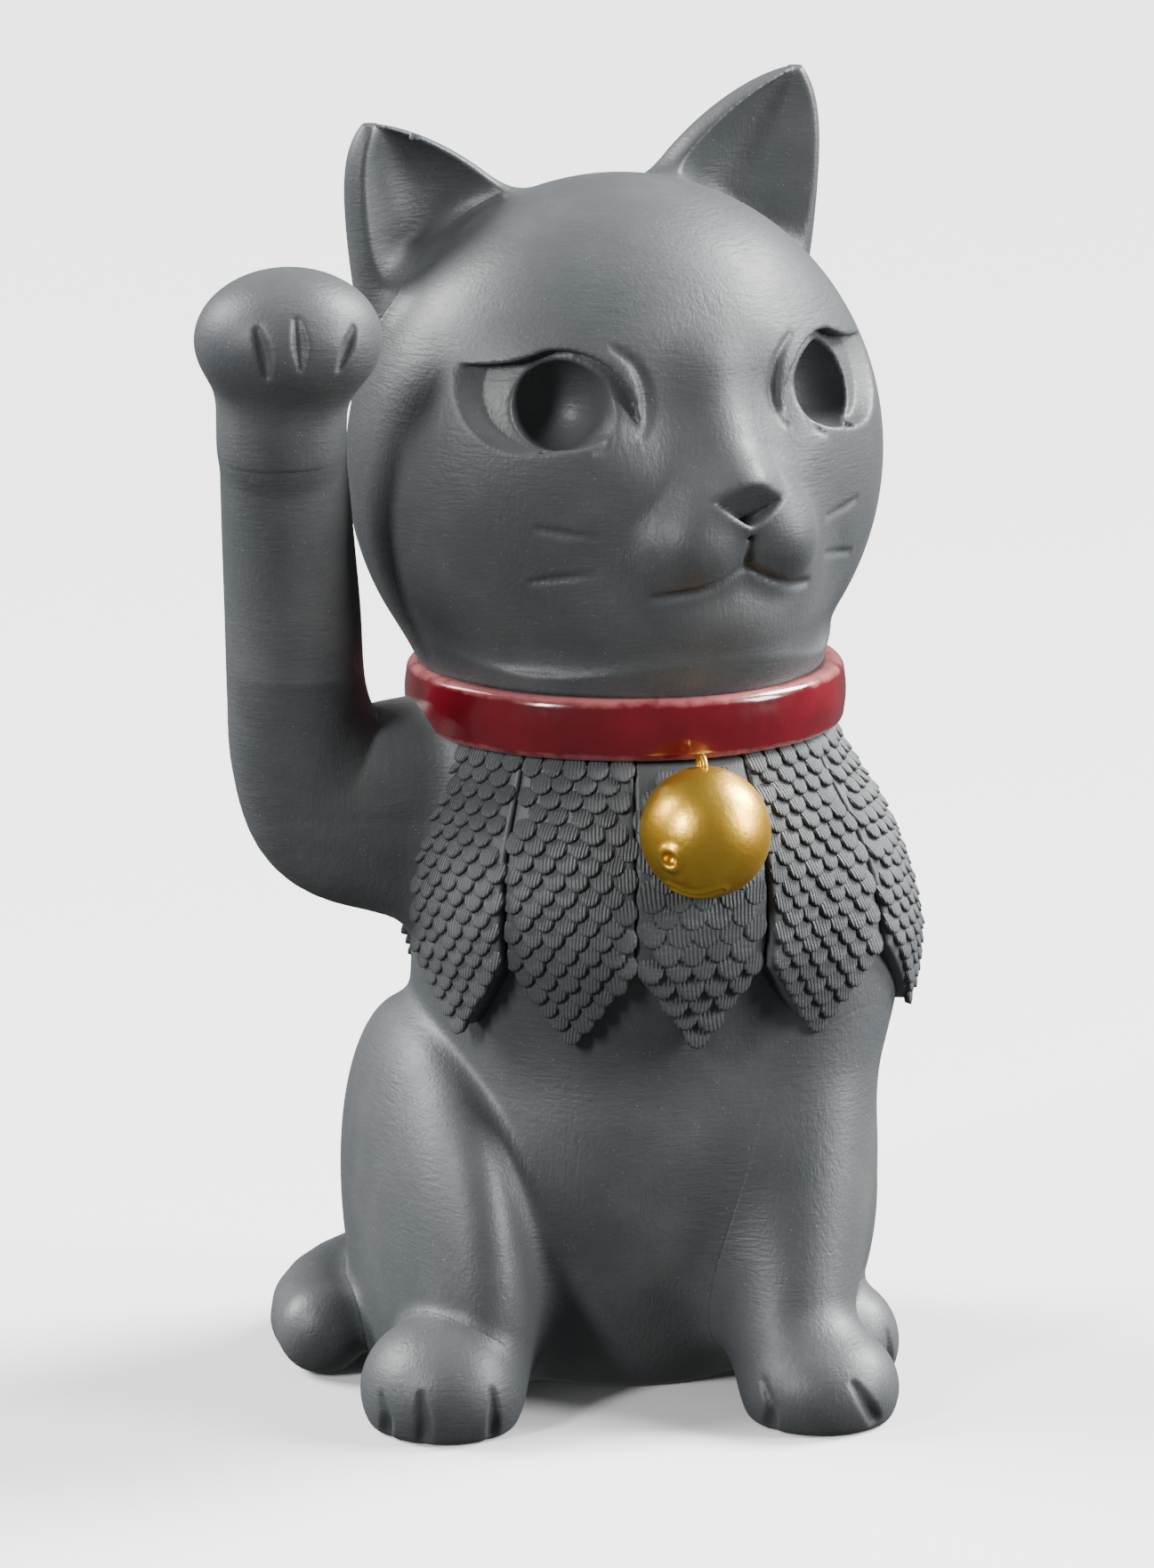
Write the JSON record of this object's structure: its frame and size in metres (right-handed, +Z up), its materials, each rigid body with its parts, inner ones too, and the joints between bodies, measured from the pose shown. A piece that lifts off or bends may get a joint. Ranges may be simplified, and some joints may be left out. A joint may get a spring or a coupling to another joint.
{
  "type": "beckoning cat figurine",
  "caption": "Seated porcelain cat with one paw raised in greeting, a scaled bib of petals, a glazed collar and a small bell.",
  "frame": {"origin": "on the surface it stands on, under the middle of the figure's box", "axes": "+Z up, the body faces -Y, the cat's left side is +X"},
  "size_m": [0.132, 0.1192, 0.23],
  "materials": {
    "bisque": "matte",
    "red_glaze": "gloss",
    "gold_lustre": "satin"
  },
  "bodies": {
    "root": {"body_shell": "bisque", "base_plate": "bisque", "left_hind_foot": "bisque", "right_hind_foot": "bisque", "left_foreleg": "bisque", "tail": "bisque", "petal_01": "bisque", "petal_02": "bisque", "petal_03": "bisque", "petal_04": "bisque", "petal_05": "bisque", "petal_06": "bisque", "petal_07": "bisque", "petal_08": "bisque", "petal_09": "bisque", "petal_10": "bisque", "collar": "red_glaze", "head_shell": "bisque", "left_ear": "bisque", "right_ear": "bisque", "raised_arm": "bisque", "raised_paw": "bisque", "bell": "gold_lustre", "bell_loop": "gold_lustre"}
  },
  "joints": []
}
